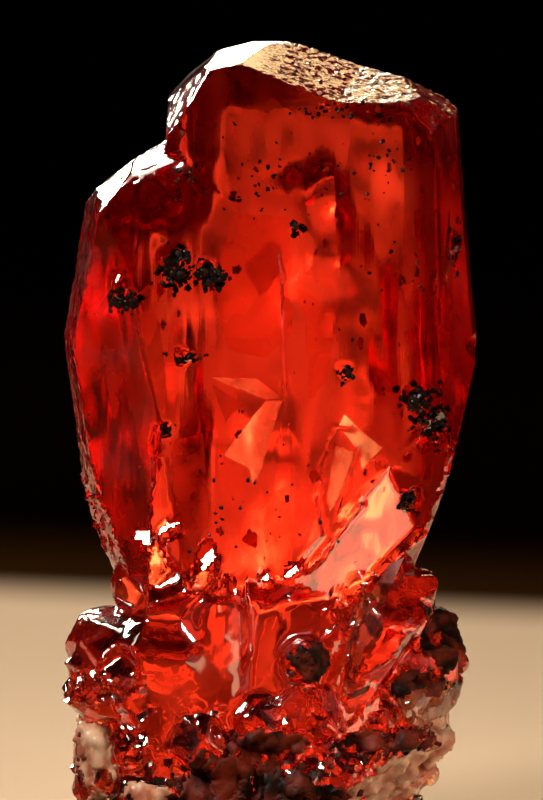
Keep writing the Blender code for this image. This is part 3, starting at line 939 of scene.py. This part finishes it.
def softbox(name, place, aim, size, radiance, colour, spread, lights):
    """A flat lamp that the camera does not see, with its brightness seen straight on.
    It lights all surfaces, or only what is clear or what is dull, without a mirror image."""
    no_narrowing = 179.0
    light = bpy.data.lights.new(name, "AREA")
    light.shape = "RECTANGLE"
    light.size, light.size_y = size
    half = math.radians(0.5 * spread)
    narrowing = 1.0 if spread > no_narrowing else math.tan(half) / (math.tan(half) - half)
    light.energy = radiance * math.pi * size[0] * size[1] / narrowing
    light.color = colour
    light.spread = math.radians(spread)
    made = bpy.data.objects.new(name, light)
    made.location = place
    made.rotation_mode = "QUATERNION"
    made.rotation_quaternion = (Vector(aim) - Vector(place)).to_track_quat("-Z", "Y")
    made.visible_camera = False
    made.visible_glossy = lights == "all"
    made.visible_diffuse = lights != "clear"
    made.visible_transmission = lights != "dull"
    bpy.context.scene.collection.objects.link(made)


CREAM = (1.0, 0.90, 0.74)
PEACH = (1.0, 0.9, 0.8)

# The lamps: name, place, aim, size, brightness, colour, spread in degrees, which surfaces it lights
LAMPS = (
    ("overhead", (-0.06, 0.12, 0.26), (-0.02, 0.04, 0.0), (0.14, 0.14),
     4.4, (1.0, 0.86, 0.66), 60.0, "all"),
    ("crown_right", (0.03, 0.20, 0.165), (0.0, 0.0, 0.029), (0.11, 0.06),
     4.2, (1.0, 0.64, 0.30), 180.0, "all"),
    ("crown_left", (-0.022, 0.20, 0.10), (-0.002, 0.0, 0.029), (0.06, 0.04), 26.0, CREAM, 180.0, "all"),
    ("shoulder", (-0.057, 0.107, 0.185), (-0.005, -0.003, 0.025), (0.06, 0.06), 60.0, CREAM, 18.0, "all"),
    ("key_behind", (-0.09, 0.17, 0.09), (0.0, 0.0, 0.024), (0.05, 0.05), 100.0, CREAM, 30.0, "all"),
    ("glow_behind", (-0.002, 0.024, 0.018), (-0.001, 0.0, 0.018), (0.018, 0.022),
     0.35, PEACH, 120.0, "clear"),
    ("glow_low", (0.0, 0.020, 0.007), (0.0, 0.0, 0.006), (0.020, 0.010), 2.6, PEACH, 120.0, "clear"),
    ("glow_right", (0.010, 0.014, 0.018), (-0.003, 0.0045, 0.018), (0.011, 0.022),
     1.7, PEACH, 120.0, "clear"),
    ("side_right", (0.045, -0.020, 0.019), (0.0, 0.0, 0.019), (0.05, 0.04), 9.0, PEACH, 120.0, "clear"),
    ("side_left", (-0.045, -0.020, 0.019), (0.0, 0.0, 0.019), (0.05, 0.04), 3.0, PEACH, 120.0, "clear"),
    ("left_front", (-0.12, -0.10, 0.14), (-0.004, -0.002, 0.010), (0.05, 0.05),
     42.0, (1.0, 0.88, 0.78), 180.0, "all"),
    ("right_front", (0.10, -0.10, 0.035), (0.003, 0.0, 0.004), (0.06, 0.06),
     9.0, (1.0, 0.88, 0.76), 120.0, "dull"),
    ("low_card", (0.0145, -0.0165, 0.0003), (0.0145, -0.0165, 0.01), (0.010, 0.021),
     1.4, (1.0, 0.60, 0.36), 180.0, "all"),
)


def floor_material(settings):
    """Pale beige floor that fades to dark brown behind the specimen, and is painted black before it as
    painted shade.
    """
    material, nodes, links, surface = new_material("pale_floor")
    place = nodes.new("ShaderNodeTexCoord")
    across = nodes.new("ShaderNodeVectorMath")
    across.operation = "DOT_PRODUCT"
    across.inputs[1].default_value = (0.309, 0.951, 0.0)
    links.new(place.outputs["Object"], across.inputs[0])
    depth = across.outputs["Value"]
    start, end = settings.painted_shade_edge, settings.floor_far
    far = span_node(nodes, links, depth, end, end + 0.014, 1.0, 0.0)
    far.node.interpolation_type = "SMOOTHSTEP"
    # Painted shade: the floor before the specimen's front edge is black
    front = span_node(nodes, links, depth, start - 0.003, start + 0.001, 0.0, 1.0)
    pale = math_node(nodes, links, "MULTIPLY", far, front)
    tail = span_node(nodes, links, depth, end + 0.008, end + 0.036, 1.0, 0.0)
    tail.node.interpolation_type = "SMOOTHSTEP"
    rim = blend_node(nodes, links, tail, (0.0008, 0.0003, 0.0001, 1.0), (0.018, 0.007, 0.0015, 1.0))
    tone = blend_node(nodes, links, pale, (0.0, 0.0, 0.0, 1.0), (*settings.floor_colour, 1.0))
    links.new(rim, tone.node.inputs[FIRST_COLOUR])
    links.new(tone, surface.inputs["Base Color"])
    surface.inputs["Roughness"].default_value = 1.0
    surface.inputs["Specular IOR Level"].default_value = 0.0
    return material


def studio_world(settings):
    """Soft warm light from low behind the specimen, and dark elsewhere."""
    world = bpy.data.worlds.new("studio")
    world.use_nodes = True
    nodes, links = world.node_tree.nodes, world.node_tree.links
    way = nodes.new("ShaderNodeTexCoord").outputs["Generated"]
    parts = nodes.new("ShaderNodeSeparateXYZ")
    links.new(way, parts.inputs["Vector"])
    behind = span_node(nodes, links, parts.outputs["Y"], 0.1, 0.5, 0.0, settings.dome)
    low = span_node(nodes, links, parts.outputs["Z"], 0.20, 0.34, 1.0, 0.0)
    links.new(math_node(nodes, links, "MULTIPLY", behind, low), nodes["Background"].inputs["Strength"])
    nodes["Background"].inputs["Color"].default_value = (1.0, 0.9, 0.78, 1.0)
    return world


class SPECIMEN_OT_stage(bpy.types.Operator):
    """Builds the pale floor, the soft lights and the camera"""

    bl_idname = "specimen.stage"
    bl_label = "Stage"

    def execute(self, context):
        settings = context.scene.specimen_stage
        shape = bmesh.new()
        bmesh.ops.create_circle(shape, cap_ends=True, segments=96, radius=FLOOR_RADIUS)
        mesh = bpy.data.meshes.new("floor")
        shape.to_mesh(mesh)
        shape.free()
        floor = bpy.data.objects.new("floor", mesh)
        floor.location.z = -FLOOR_GAP
        mesh.materials.append(floor_material(settings))
        context.scene.collection.objects.link(floor)

        for lamp in LAMPS:
            softbox(*lamp)

        world = studio_world(settings)
        context.scene.world = world
        world.cycles_visibility.camera = False
        world.cycles_visibility.glossy = False
        context.scene.view_settings.view_transform = "Standard"

        rise = settings.camera_rise
        camera = bpy.data.cameras.new("camera")
        camera.sensor_width = 36.0
        camera.lens = camera.sensor_width * settings.camera_distance / (PHOTO_HEIGHT / PIXELS_PER_MM * MM)
        camera.dof.use_dof = False
        camera.clip_start = 0.005
        eye = bpy.data.objects.new("camera", camera)
        aim = Vector((
            (0.5 * PHOTO_WIDTH - MIDDLE_PIXEL) / PIXELS_PER_MM * MM,
            0.0,
            (UNDERSIDE_PIXEL - 0.5 * PHOTO_HEIGHT) / PIXELS_PER_MM * MM,
        ))
        back = Vector((0.0, -math.cos(rise), math.sin(rise)))
        eye.location = aim + back * settings.camera_distance
        eye.rotation_mode = "QUATERNION"
        eye.rotation_quaternion = (-back).to_track_quat("-Z", "Y")
        context.scene.collection.objects.link(eye)
        context.scene.camera = eye
        return {"FINISHED"}


class SPECIMEN_PT_panel(bpy.types.Panel):
    """Lists the pieces of the specimen"""

    bl_label = "Proustite specimen"
    bl_idname = "SPECIMEN_PT_panel"
    bl_space_type = "VIEW_3D"
    bl_region_type = "UI"
    bl_category = "Specimen"

    def draw(self, context):
        for operator in OPERATORS:
            self.layout.operator(operator.bl_idname)


OPERATORS = (
    SPECIMEN_OT_stage, SPECIMEN_OT_crystal, SPECIMEN_OT_cracks, SPECIMEN_OT_grains, SPECIMEN_OT_crust,
    SPECIMEN_OT_skins,
)
CLASSES = (CrystalSettings, StageSettings, *OPERATORS, SPECIMEN_PT_panel)


def register():
    for found in CLASSES:
        bpy.utils.register_class(found)
    bpy.types.Scene.specimen_crystal = PointerProperty(type=CrystalSettings)
    bpy.types.Scene.specimen_stage = PointerProperty(type=StageSettings)


def unregister():
    del bpy.types.Scene.specimen_stage
    del bpy.types.Scene.specimen_crystal
    for found in reversed(CLASSES):
        bpy.utils.unregister_class(found)


def main():
    register()
    bpy.ops.specimen.stage()
    bpy.ops.specimen.crystal()
    bpy.ops.specimen.cracks()
    bpy.ops.specimen.grains()
    bpy.ops.specimen.crust()
    bpy.ops.specimen.skins()


if __name__ == "__main__":
    main()
